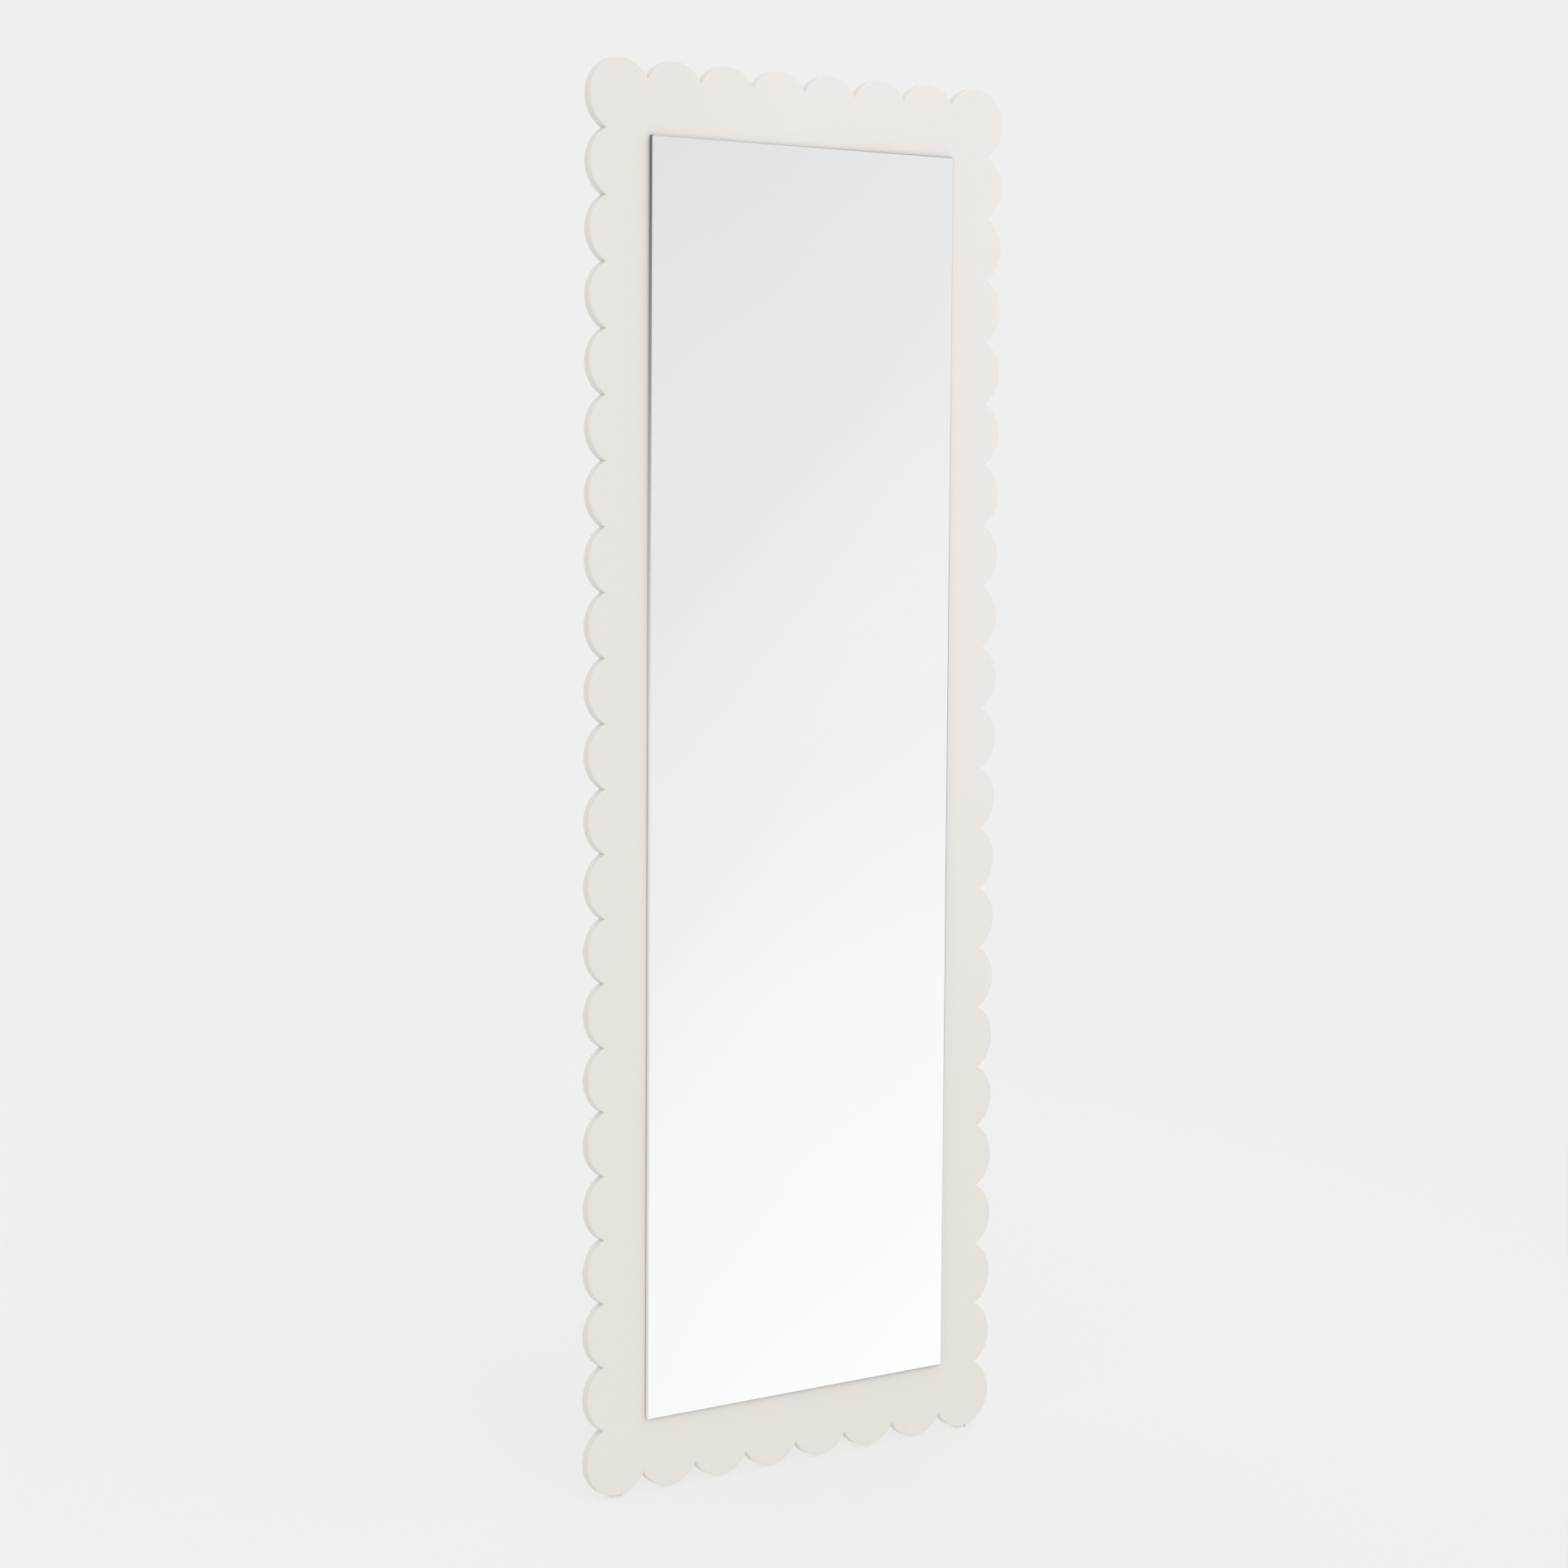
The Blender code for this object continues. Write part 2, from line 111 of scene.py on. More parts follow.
# The camera. The heading is measured from +Y towards +X. Lens and sensor are in millimetres.
CAMERA_PLACE = Vector((-2.5933, -3.3701, 1.5385))
CAMERA_HEADING = radians(37.8)
CAMERA_RISE = radians(-9.7)
CAMERA_ROLL = radians(4.06)
CAMERA_LENS = 82.06
CAMERA_SENSOR = 36.0

# The backdrop's grey, and the floor. FLOOR_GLOW is the share of the floor's light that is its own.
# FLOOR_FADE is where it starts and ends to fade, as shares of the way to its rim.
BACKGROUND = 0.863
FLOOR_SIZE = (2.2, 2.1)
FLOOR_MIDDLE = (0.0, 0.5)
FLOOR_GLOW = 0.7
FLOOR_FADE = (0.55, 0.99)

# The soft bands that the mirror shows, in degrees. Azimuths are measured from -Y towards +X.
BAND_HEIGHT = 25.0
BAND_FALL = 9.0
BAND_AZIMUTHS = (27.5, 47.5)
BAND_WANDER = 9.0
BAND_CURVE = 1.18
STREAK_STRETCH = 0.16

TURNS = {"mirror": -LEAN, "leg": LEG_SLOPE}
SIDES = {"left": -1, "right": 1}
BODIES = frame["record"]["behaviour"]["bodies"]
BODY_OF = {node: body for body, nodes in BODIES.items() for node in nodes}

# ---- Shader building ----------------------------------------------------------------------------


def new_material(name, **constants):
    """A material with its Principled shader. Constants are set on the shader's own sockets."""
    made = bpy.data.materials.new(name)
    made.use_nodes = True
    shader = made.node_tree.nodes["Principled BSDF"]
    for socket, value in constants.items():
        shader.inputs[socket.replace("_", " ")].default_value = value
    return made, made.node_tree, shader


def node(tree, kind, inputs=None, **settings):
    """Adds a node. An input is a number, a vector, a colour or the socket that feeds it."""
    made = tree.nodes.new(kind)
    for name, value in settings.items():
        setattr(made, name, value)
    for name, value in (inputs or {}).items():
        if isinstance(value, bpy.types.NodeSocket):
            tree.links.new(value, made.inputs[name])
        else:
            made.inputs[name].default_value = value
    return made


def maths(tree, operation, a, b=0.0):
    """The result of an operation on a and b, or on a alone where it takes one value."""
    return node(tree, "ShaderNodeMath", {0: a, 1: b}, operation=operation).outputs[0]


def ramp(tree, value, low, high, start, end, smooth=True):
    """Carries value from the range low..high to start..end."""
    inputs = {"Value": value, "From Min": low, "From Max": high, "To Min": start, "To Max": end}
    kind = "SMOOTHSTEP" if smooth else "LINEAR"
    return node(tree, "ShaderNodeMapRange", inputs, interpolation_type=kind).outputs["Result"]


def blend_colours(tree, factor, a, b):
    """Colour a where the factor is 0 and colour b where it is 1."""
    made = node(tree, "ShaderNodeMix", data_type="RGBA")
    for index, value in ((0, factor), (6, a), (7, b)):
        if isinstance(value, bpy.types.NodeSocket):
            tree.links.new(value, made.inputs[index])
        else:
            made.inputs[index].default_value = value if index == 0 else (*value, 1.0)
    return made.outputs[2]


def object_space(tree, scale=(1, 1, 1)):
    """The piece's own coordinates, in metres, each axis multiplied by its scale."""
    space = node(tree, "ShaderNodeTexCoord").outputs["Object"]
    return node(tree, "ShaderNodeMapping", {"Vector": space, "Scale": scale}).outputs[0]


def noise(tree, space, scale, detail=3.0, roughness=0.5):
    inputs = {"Vector": space, "Scale": scale, "Detail": detail, "Roughness": roughness}
    return node(tree, "ShaderNodeTexNoise", inputs).outputs["Fac"]


def bump(tree, height, distance, strength=1.0, under=None):
    inputs = {"Height": height, "Distance": distance, "Strength": strength}
    if under is not None:
        inputs["Normal"] = under
    return node(tree, "ShaderNodeBump", inputs).outputs["Normal"]


def feed(tree, shader, **sockets):
    """Links results to the shader's sockets."""
    for name, value in sockets.items():
        tree.links.new(value, shader.inputs[name.replace("_", " ")])


# ---- Materials ----------------------------------------------------------------------------------


def paint_colour_with_painted_light(tree, shaded_tone, lit_tone, low, high):
    """Ivory with painted light and shade: a warmer, darker tone below turns to a lighter, pinker one
    above, with a faint cloudiness. Low and high are the heights, from the middle of the piece, where
    the change starts and ends. The painted light is weak near the left edge of a wide piece, which
    stays in painted shade."""
    space = object_space(tree)
    axes = node(tree, "ShaderNodeSeparateXYZ", {"Vector": space}).outputs
    clouds = maths(tree, "MULTIPLY", maths(tree, "SUBTRACT", noise(tree, space, 3.0), 0.5), high - low)
    # Painted light and shade: lighter towards the top, darker towards the bottom and near the left edge.
    rise = ramp(tree, maths(tree, "ADD", axes["Z"], clouds), low, high, 0.0, 1.0)
    painted_light_spread = ramp(tree, axes["X"], -0.25, 0.0, 0.15, 1.0)
    return blend_colours(tree, maths(tree, "MULTIPLY", rise, painted_light_spread), shaded_tone, lit_tone)


def make_board_paint():
    """Satin ivory paint, rolled on: a fine orange peel over a very slightly uneven ground."""
    made, tree, shader = new_material("ivory_board_paint", Specular_IOR_Level=0.35)
    # Shaded and lit tones of the ivory: painted shade below, painted light above and to the right.
    tone = paint_colour_with_painted_light(tree, (0.831, 0.802, 0.757), (0.880, 0.845, 0.820), -0.45, 0.15)
    space = object_space(tree)
    peel = noise(tree, space, 650.0, 2.0)
    swell = noise(tree, space, 45.0, 2.0)
    speckle = ramp(tree, noise(tree, space, 260.0, 4.0), 0.35, 0.65, 0.97, 1.0)
    colour = blend_colours(tree, speckle, (0.70, 0.67, 0.62), tone)
    ground = bump(tree, swell, 0.0004, 0.35)
    feed(
        tree,
        shader,
        Base_Color=colour,
        Roughness=ramp(tree, peel, 0.3, 0.7, 0.46, 0.58),
        Normal=bump(tree, peel, 0.00012, 0.5, ground),
    )
    return made


def make_edge_paint():
    """The same paint on the routed edge, where the board's open fibres leave it a little rougher. It
    is darker than the face, partly from the open fibres and partly as painted shade on the side
    walls."""
    made, tree, shader = new_material("ivory_edge_paint", Specular_IOR_Level=0.30)
    # Darker tones than the board's: partly the open fibres, partly painted shade on the side walls, with
    # painted light above as on the face.
    tone = paint_colour_with_painted_light(tree, (0.790, 0.768, 0.728), (0.815, 0.790, 0.762), -0.45, 0.15)
    fibres = noise(tree, object_space(tree, (1, 2.6, 1)), 420.0, 4.0, 0.6)
    shade = ramp(tree, fibres, 0.3, 0.7, 0.90, 1.0)
    feed(
        tree,
        shader,
        Base_Color=blend_colours(tree, shade, (0.62, 0.59, 0.54), tone),
        Roughness=ramp(tree, fibres, 0.3, 0.7, 0.52, 0.68),
        Normal=bump(tree, fibres, 0.00035, 0.6),
    )
    return made


def make_wood_paint(name, stretch):
    """Brushed ivory paint that lets the grain of the wood show. Stretch is small along the grain."""
    made, tree, shader = new_material(name, Specular_IOR_Level=0.35)
    # Shaded and lit tones of the ivory paint: painted shade below, painted light above.
    tone = paint_colour_with_painted_light(tree, (0.760, 0.732, 0.682), (0.805, 0.778, 0.738), -0.5, 0.5)
    space = object_space(tree, stretch)
    grain = noise(tree, space, 55.0, 6.0, 0.62)
    strokes = noise(tree, space, 310.0, 3.0)
    pores = ramp(tree, noise(tree, space, 130.0, 5.0, 0.7), 0.30, 0.46, 0.0, 1.0)
    grain_tone = ramp(tree, grain, 0.3, 0.7, 0.90, 1.0)
    pore_tone = ramp(tree, pores, 0.0, 1.0, 0.93, 1.0)
    shade = maths(tree, "MULTIPLY", grain_tone, pore_tone)
    figure = bump(tree, pores, 0.00018, 0.7, bump(tree, grain, 0.0006, 0.35))
    feed(
        tree,
        shader,
        Base_Color=blend_colours(tree, shade, (0.60, 0.56, 0.48), tone),
        Roughness=ramp(tree, strokes, 0.3, 0.7, 0.50, 0.64),
        Normal=bump(tree, strokes, 0.00012, 0.5, figure),
    )
    return made


def make_silvering():
    """The mirror's face: clear reflection, a trace of the glass's green in it."""
    made, tree, shader = new_material("silvered_glass", Metallic=1.0)
    space = object_space(tree)
    drift = ramp(tree, noise(tree, space, 2.2, 2.0), 0.35, 0.65, 0.0, 1.0)
    film = noise(tree, space, 14.0, 3.0)
    feed(
        tree,
        shader,
        Base_Color=blend_colours(tree, drift, (0.966, 0.968, 0.968), (0.972, 0.974, 0.973)),
        Roughness=ramp(tree, film, 0.40, 0.75, 0.004, 0.016),
    )
    return made


def make_glass_edge(half_width, half_height):
    """The ground edge of the glass, coloured with painted light and shade: pale where painted light
    stands for light through the pane, and a dark grey green of painted shade high on the left side
    and half way up the right side. Top and bottom darken to the right, also painted shade."""
    made, tree, shader = new_material("ground_glass_edge", IOR=1.52, Coat_Weight=0.3, Coat_Roughness=0.08)
    space = object_space(tree, (1 / half_width, 1, 1 / half_height))
    axes = node(tree, "ShaderNodeSeparateXYZ", {"Vector": space}).outputs
    left_side = ramp(tree, axes["X"], -1.0, -0.97, 1.0, 0.0)
    right_side = ramp(tree, axes["X"], 0.97, 1.0, 0.0, 1.0)
    high_up = ramp(tree, axes["Z"], 0.0, 1.0, 0.0, 1.0)
    half_way = ramp(tree, maths(tree, "ABSOLUTE", axes["Z"]), 0.15, 0.75, 1.0, 0.0)
    # Painted shade: dark high on the left side and half way up the right side.
    painted_shade_left = maths(tree, "MULTIPLY", left_side, high_up)
    painted_shade_right = maths(tree, "MULTIPLY", right_side, half_way)
    painted_shade = maths(tree, "MAXIMUM", painted_shade_left, painted_shade_right)
    grind = noise(tree, object_space(tree, (1, 3, 1)), 2600.0, 2.0)
    # Painted shade and light: top and bottom darken to the right, the left side is pale and the right
    # side a little less pale.
    to_right = ramp(tree, axes["X"], -0.6, 0.9, 0.0, 1.0)
    ends = blend_colours(tree, to_right, (0.600, 0.615, 0.605), (0.430, 0.445, 0.437))
    ends_and_left = blend_colours(tree, left_side, ends, (0.860, 0.870, 0.860))
    pale = blend_colours(tree, right_side, ends_and_left, (0.640, 0.655, 0.645))
    tone = blend_colours(tree, painted_shade, pale, (0.130, 0.148, 0.143))
    shade = ramp(tree, grind, 0.3, 0.7, 0.86, 1.0)
    feed(
        tree,
        shader,
        Base_Color=blend_colours(tree, shade, (0.05, 0.07, 0.065), tone),
        Roughness=ramp(tree, grind, 0.3, 0.7, 0.18, 0.34),
        Normal=bump(tree, grind, 0.00008, 0.5),
    )
    return made


def make_backing():
    """The pale grey protective paint on the back of the mirror."""
    made, tree, shader = new_material("mirror_backing", Specular_IOR_Level=0.3)
    film = noise(tree, object_space(tree), 180.0, 4.0)
    feed(
        tree,
        shader,
        Base_Color=blend_colours(tree, film, (0.50, 0.52, 0.52), (0.57, 0.59, 0.59)),
        Roughness=ramp(tree, film, 0.3, 0.7, 0.5, 0.7),
        Normal=bump(tree, film, 0.0001, 0.5),
    )
    return made


def make_foam():
    """White closed-cell foam: round cells cut open on the tape's edges, with painted shade in their
    hollows.
    """
    made, tree, shader = new_material("foam", Specular_IOR_Level=0.2)
    inputs = {"Vector": object_space(tree), "Scale": 1600.0}
    cells = node(tree, "ShaderNodeTexVoronoi", inputs).outputs["Distance"]
    # The hollows of the cells are darker: painted shade.
    wall = ramp(tree, cells, 0.1, 0.6, 0.0, 1.0)
    feed(
        tree,
        shader,
        Base_Color=blend_colours(tree, wall, (0.50, 0.50, 0.49), (0.80, 0.80, 0.78)),
        Roughness=ramp(tree, wall, 0.0, 1.0, 0.95, 0.80),
        Normal=bump(tree, wall, 0.0003, 0.8),
    )
    return made


def make_zinc():
    """Bright zinc plate on steel: a cool sheen, faint crystals and fine drawing marks."""
    made, tree, shader = new_material("zinc_plate", Metallic=1.0)
    space = object_space(tree)
    crystals = node(tree, "ShaderNodeTexVoronoi", {"Vector": space, "Scale": 420.0}).outputs["Color"]
    crystal = node(tree, "ShaderNodeSeparateColor", {"Color": crystals}).outputs[0]
    marks = noise(tree, object_space(tree, (1, 1, 0.06)), 1500.0, 3.0)
    stain = noise(tree, space, 60.0, 4.0)
    tone = blend_colours(tree, crystal, (0.60, 0.62, 0.64), (0.70, 0.71, 0.72))
    feed(
        tree,
        shader,
        Base_Color=blend_colours(tree, ramp(tree, stain, 0.3, 0.7, 0.82, 1.0), (0.45, 0.46, 0.48), tone),
        Roughness=ramp(tree, marks, 0.3, 0.7, 0.24, 0.40),
        Normal=bump(tree, marks, 0.00003, 0.5),
    )
    return made


def make_plastic(name, dark, light, rough, grain, depth, **constants):
    """A moulded material: two close tones, with a fine moulded grain."""
    made, tree, shader = new_material(name, **constants)
    space = object_space(tree)
    mould = noise(tree, space, grain, 3.0)
    cloud = noise(tree, space, grain / 12, 3.0)
    feed(
        tree,
        shader,
        Base_Color=blend_colours(tree, ramp(tree, cloud, 0.3, 0.7, 0.0, 1.0), dark, light),
        Roughness=ramp(tree, mould, 0.3, 0.7, rough - 0.06, rough + 0.06),
        Normal=bump(tree, mould, depth, 0.6),
    )
    return made


def make_materials():
    """All the materials, each made once."""
    low, high = own_box("mirror_glass")
    size = high - low
    return {
        "board": make_board_paint(),
        "edge": make_edge_paint(),
        "upright": make_wood_paint("ivory_upright_paint", (1, 1, 0.05)),
        "cross": make_wood_paint("ivory_cross_paint", (0.05, 1, 1)),
        "silver": make_silvering(),
        "glass_edge": make_glass_edge(size.x / 2, size.z / 2),
        "backing": make_backing(),
        "foam": make_foam(),
        "zinc": make_zinc(),
        "nylon": make_plastic(
            "nylon", (0.76, 0.75, 0.70), (0.82, 0.81, 0.77), 0.42, 900.0, 0.00004, Subsurface_Weight=0.1
        ),
        "rubber": make_plastic(
            "black_rubber", (0.022, 0.022, 0.022), (0.040, 0.039, 0.038), 0.74, 1300.0, 0.00010
        ),
        "clear_rubber": make_plastic(
            "clear_rubber", (0.84, 0.85, 0.84), (0.90, 0.90, 0.88), 0.24, 700.0, 0.00003,
            Transmission_Weight=0.55, IOR=1.45,
        ),
    }


# ---- Reading the frame --------------------------------------------------------------------------


def turn_of(name):
    """How far a node's own axes are turned about X. The pads are cut level with the floor."""
    return 0.0 if name.startswith(("leg_pad_", "glide_")) else TURNS[BODY_OF[name]]


def own_box(name):
    """A CAD node's lowest and highest corner along its own axes."""
    back = Matrix.Rotation(-turn_of(name), 3, "X")
    points = [back @ v.co for v in frame["nodes"][name].data.vertices]
    low = Vector([min(p[i] for p in points) for i in range(3)])
    high = Vector([max(p[i] for p in points) for i in range(3)])
    return low, high


def own_centre(name):
    low, high = own_box(name)
    return (low + high) / 2


def span_towards(name, side):
    """A node's nearest and farthest distance from the middle, along its X, towards a side."""
    low, high = own_box(name)
    return sorted((low.x * side, high.x * side))


# ---- Mesh building ------------------------------------------------------------------------------


def smooth(mesh, angle=30.0):
    """Smooth on the rounds, sharp at the edges."""
    mesh.shade_smooth()
    mesh.set_sharp_from_angle(angle=radians(angle))


def show(name, mesh, materials, centre, turn=Matrix.Identity(4)):
    """Puts a mesh, modelled about a centre in its node's own axes, in the place of its CAD node. The
    turn is made about the centre first."""
    if not mesh.materials:
        for material in materials:
            mesh.materials.append(material)
    made = bpy.data.objects.new(f"shaped_{name}", mesh)
    bpy.context.scene.collection.objects.link(made)
    made.matrix_world = Matrix.Rotation(turn_of(name), 4, "X") @ Matrix.Translation(centre) @ turn
    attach(made, BODY_OF[name])
    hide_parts(name)
    return made


def to_mesh(name, bm, angle=30.0):
    bmesh.ops.recalc_face_normals(bm, faces=bm.faces)
    mesh = bpy.data.meshes.new(name)
    bm.to_mesh(mesh)
    bm.free()
    smooth(mesh, angle)
    return mesh


def loft(rings, indices=None):
    """Joins closed rings of points, one after another, and caps both ends. Indices give each band of
    faces its material, and the first and last of them are the caps'."""
    bm = bmesh.new()
    rows = [[bm.verts.new(point) for point in ring] for ring in rings]
    indices = indices or [0] * (len(rings) + 1)
    count = len(rows[0])
    bm.faces.new(rows[0]).material_index = indices[0]
    bm.faces.new(rows[-1]).material_index = indices[-1]
    for near, far, index in zip(rows, rows[1:], indices[1:]):
        for i in range(count):
            j = (i + 1) % count
            bm.faces.new((near[i], near[j], far[j], far[i])).material_index = index
    bmesh.ops.remove_doubles(bm, verts=bm.verts, dist=1e-6)
    return bm


def turned(profile, count):
    """Turns a profile of (radius, distance along X) round X. Radius 0 closes an end, and a profile
    that ends where it starts makes a ring."""
    bm = bmesh.new()
    rings = []
    for radius, x in profile:
        steps = count if radius else 1
        angles = [2 * pi * i / count for i in range(steps)]
        rings.append([bm.verts.new((x, radius * cos(a), radius * sin(a))) for a in angles])
    for a, b in zip(rings, rings[1:]):
        for i in range(count):
            j = (i + 1) % count
            corners = (a[i % len(a)], a[j % len(a)], b[j % len(b)], b[i % len(b)])
            bm.faces.new(list(dict.fromkeys(corners)))
    if profile[0] == profile[-1]:
        bmesh.ops.remove_doubles(bm, verts=bm.verts, dist=1e-7)
    bmesh.ops.recalc_face_normals(bm, faces=bm.faces)
    return bm


def boolean(mesh, cutter, operation):
    """The mesh joined to the cutter, cut by it or kept inside it, as the operation says."""
    target = bpy.data.objects.new("target", mesh)
    tool = bpy.data.objects.new("tool", cutter)
    for made in (target, tool):
        bpy.context.scene.collection.objects.link(made)
    change = target.modifiers.new("change", "BOOLEAN")
    change.operation = operation
    change.object = tool
    bpy.context.view_layer.update()
    seen = target.evaluated_get(bpy.context.evaluated_depsgraph_get())
    result = bpy.data.meshes.new_from_object(seen)
    for made in (target, tool):
        spent = made.data
        bpy.data.objects.remove(made)
        bpy.data.meshes.remove(spent)
    return result


def rounded_copy(name, materials, width, shortest=0.0):
    """The CAD node's own shape with its edges rounded. Edges shorter than shortest stay sharp."""
    centre = own_centre(name)
    bm = bmesh.new()
    bm.from_mesh(frame["nodes"][name].data)
    bmesh.ops.transform(
        bm,
        matrix=Matrix.Translation(-centre) @ Matrix.Rotation(-turn_of(name), 4, "X"),
        verts=bm.verts,
    )
    bmesh.ops.remove_doubles(bm, verts=bm.verts, dist=1e-6)
    bmesh.ops.dissolve_limit(bm, angle_limit=radians(1.5), verts=bm.verts, edges=bm.edges)
    edges = [
        e
        for e in bm.edges
        if e.is_manifold and e.calc_length() > shortest and e.calc_face_angle() > radians(35)
    ]
    bmesh.ops.bevel(
        bm,
        geom=edges,
        offset=width,
        offset_type="OFFSET",
        segments=3,
        profile=0.5,
        affect="EDGES",
        clamp_overlap=False,
    )
    bmesh.ops.dissolve_degenerate(bm, dist=1e-6, edges=bm.edges)
    for face in bm.faces:
        face.material_index = 0
    return show(name, to_mesh(name, bm), materials, centre)


# ---- The scalloped panel ------------------------------------------------------------------------


def lobe_centres(half_width, half_height):
    """Centres of the lobes round the panel, anticlockwise from the lower left as seen from the
    front."""
    x = half_width - LOBE_RADIUS
    z = half_height - LOBE_RADIUS
    across = [-x + 2 * x * i / (LOBES_ACROSS - 1) for i in range(LOBES_ACROSS - 1)]
    down = [-z + 2 * z * i / (LOBES_DOWN - 1) for i in range(LOBES_DOWN - 1)]
    return (
        [Vector((a, -z)) for a in across]
        + [Vector((x, b)) for b in down]
        + [Vector((-a, z)) for a in across]
        + [Vector((-x, -b)) for b in down]
    )


def arc(centre, radius, start, end, steps):
    """Points from start to end, anticlockwise, both ends included."""
    sweep = (end - start) % (2 * pi)
    angles = [start + sweep * i / steps for i in range(steps + 1)]
    return [centre + radius * Vector((cos(a), sin(a))) for a in angles]


def scallop_ring(centres, offset):
    """The scalloped outline moved inwards by offset: the arc of each lobe shrinks, and each cusp
    opens into a small arc about its point."""
    count = len(centres)
    cusps = []
    for i, centre in enumerate(centres):
        after = centres[(i + 1) % count]
        half = (after - centre) / 2
        outward = Vector((half.y, -half.x)).normalized()
        cusps.append(centre + half + outward * sqrt(LOBE_RADIUS**2 - half.length_squared))
    ring = []
    for i, centre in enumerate(centres):
        start = cusps[i - 1] - centre
        end = cusps[i] - centre
        angles = (atan2(start.y, start.x), atan2(end.y, end.x))
        share = (angles[1] - angles[0]) / (2 * pi) % 1
        ring += arc(centre, LOBE_RADIUS - offset, *angles, round(LOBE_STEPS * share))
        here = centre - cusps[i]
        there = centres[(i + 1) % count] - cusps[i]
        turn = (atan2(here.y, here.x), atan2(there.y, there.x))
        ring += list(reversed(arc(cusps[i], offset, turn[1], turn[0], CUSP_STEPS)))[1:-1]
    return ring


def make_panel(materials):
    """The board: a rounded front edge, a straight side in the edge paint, and an eased back edge."""
    low, high = own_box("scalloped_panel")
    centre = (low + high) / 2
    size = high - low
    centres = lobe_centres(size.x / 2, size.z / 2)
    front = -size.y / 2
    back = size.y / 2
    quarter = [pi / 2 * i / ROUND_STEPS for i in range(ROUND_STEPS + 1)]
    section = [(FRONT_ROUND + SUPPORT, front)]
    section += [(FRONT_ROUND * (1 - sin(t)), front + FRONT_ROUND * (1 - cos(t))) for t in quarter]
    section += [(0.0, back - BACK_ROUND), (BACK_ROUND, back), (BACK_ROUND + SUPPORT, back)]
    rings = [[(p.x, y, p.y) for p in scallop_ring(centres, offset)] for offset, y in section]
    bands = [0] * (ROUND_STEPS + 1) + [1, 1, 1, 0, 0]
    mesh = to_mesh("panel", loft(rings, bands), 40.0)
    return show("scalloped_panel", mesh, [materials["board"], materials["edge"]], centre)


# ---- The mirror ---------------------------------------------------------------------------------


def rectangle_ring(half_x, half_z, offset):
    """A rectangle with its corners just rounded, moved inwards by offset."""
    radius = GLASS_CORNER
    corners = ((1, -1, -pi / 2), (1, 1, 0), (-1, 1, pi / 2), (-1, -1, pi))
    ring = []
    for x, z, start in corners:
        centre = Vector((x * (half_x - radius), z * (half_z - radius)))
        ring += arc(centre, radius - offset, start, start + pi / 2, 4)
    return ring


def make_mirror(materials):
    """A silvered pane with a polished arris at its front and a seamed one at its back. The silver
    stops just short of the arris."""
    low, high = own_box("mirror_glass")
    centre = (low + high) / 2
    half = (high - low) / 2
    section = [
        (GLASS_ARRIS + GLASS_BORDER, -half.y),
        (GLASS_ARRIS, -half.y),
        (0.0, GLASS_ARRIS - half.y),
        (0.0, half.y - GLASS_ARRIS / 2),
        (GLASS_ARRIS / 2, half.y),
    ]
    rings = [[(p.x, y, p.y) for p in rectangle_ring(half.x, half.z, inset)] for inset, y in section]
    # The rim, the arrises and the sides take the glass edge's colour, with its painted light and shade.
    mesh = to_mesh("mirror", loft(rings, [0, 1, 1, 1, 1, 2]))
    finishes = [materials["silver"], materials["glass_edge"], materials["backing"]]
    return show("mirror_glass", mesh, finishes, centre)


# ---- Fasteners ----------------------------------------------------------------------------------


def thread(radius, start, end, pitch, depth):
    """The profile of a thread, from start to end along X, as ridges a pitch apart."""
    count = max(1, int(abs(end - start) / pitch))
    step = (end - start) / count
    points = []
    for i in range(count):
        x = start + i * step
        points += [(radius - depth, x), (radius, x + step / 2)]
    return points + [(radius - depth, end)]


def finish_mesh(mesh, name):
    mesh.name = name
    smooth(mesh)
    return mesh


def recess_bar(kind, turn):
    """A cutter for one bar of the cross recess in a screw's head, whose face is at x = 0. It is
    widest at its mouth."""
    wide = kind["head"] * 0.62
    narrow = kind["head"] * 0.15
    bm = bmesh.new()
    rings = []
    for x, share in ((kind["recess"] / 2, 1.12), (-kind["recess"], 0.45)):
        sides = [(a * wide * share, b * narrow) for a, b in ((1, 1), (-1, 1), (-1, -1), (1, -1))]
        points = [(x, a * cos(turn) - b * sin(turn), a * sin(turn) + b * cos(turn)) for a, b in sides]
        rings.append([bm.verts.new(point) for point in points])
    bm.faces.new(rings[0])
    bm.faces.new(rings[1])
    for i in range(4):
        j = (i + 1) % 4
        bm.faces.new((rings[0][i], rings[0][j], rings[1][j], rings[1][i]))
    return to_mesh("bar", bm)


def screw_mesh(name, kind, length):
    """A countersunk screw that points along -X, its head's face at x = 0."""
    radius, head, depth = kind["radius"], kind["head"], kind["depth"]
    rim = depth / 4
    root = radius * 0.8
    tip = radius * 2 - length
    profile = [(0, 0), (head * 0.94, 0), (head, -rim * 0.4), (head, -rim), (root, -depth)]
    profile += thread(radius, -depth * 1.6, tip, kind["pitch"], radius - root)
    profile += [(0, -length)]
    mesh = to_mesh(name, turned(profile, 24))
    for turn in (pi / 4, -pi / 4):
        mesh = boolean(mesh, recess_bar(kind, turn), "DIFFERENCE")
    return finish_mesh(mesh, name)


def place_fastener(name, mesh, steel, towards, at):
    """Shows a mesh whose head points along +X with its head towards a direction."""
    turn = Vector((1, 0, 0)).rotation_difference(Vector(towards)).to_matrix().to_4x4()
    return show(name, mesh, [steel], at, turn)


